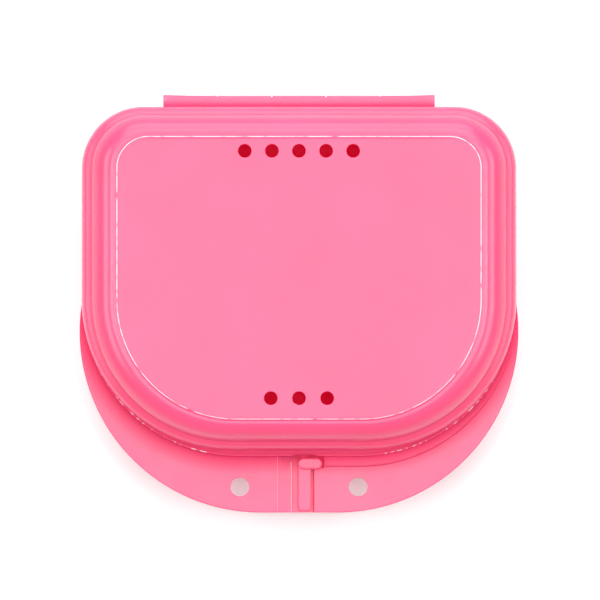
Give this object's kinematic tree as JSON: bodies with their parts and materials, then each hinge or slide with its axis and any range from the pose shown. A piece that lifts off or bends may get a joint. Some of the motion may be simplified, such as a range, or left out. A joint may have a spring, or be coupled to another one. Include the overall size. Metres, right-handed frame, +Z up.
{
  "type": "retainer case",
  "caption": "Hinged pocket case for a dental retainer, with a vented crowned lid and a swinging latch lever on the front flange.",
  "frame": {"origin": "middle of the closed case's outline, on the surface that it rests on", "axes": "+X along the hinge, +Y from the latch to the hinge, +Z up through the lid"},
  "size_m": [0.082, 0.078, 0.025],
  "materials": {
    "base_pink": "satin moulded polypropylene",
    "lid_pink": "satin moulded polypropylene",
    "lever_pink": "satin moulded polypropylene",
    "pin_steel": "drawn steel wire"
  },
  "bodies": {
    "base": {"base_tray": "base_pink", "hinge_pin": "pin_steel"},
    "lid": {"lid_shell": "lid_pink"},
    "lever": {"latch_lever": "lever_pink"}
  },
  "joints": [
    {"name": "lid_hinge", "type": "hinge", "parent": "base", "child": "lid", "pos_m": [0, 0.0373, 0.01275], "axis": [-1, 0, 0], "range_deg": [0, 140]},
    {"name": "latch_swing", "type": "hinge", "parent": "base", "child": "lever", "pos_m": [0.00103, -0.0375, 0.0109], "axis": [0, 0, 1], "range_deg": [0, 20]}
  ]
}
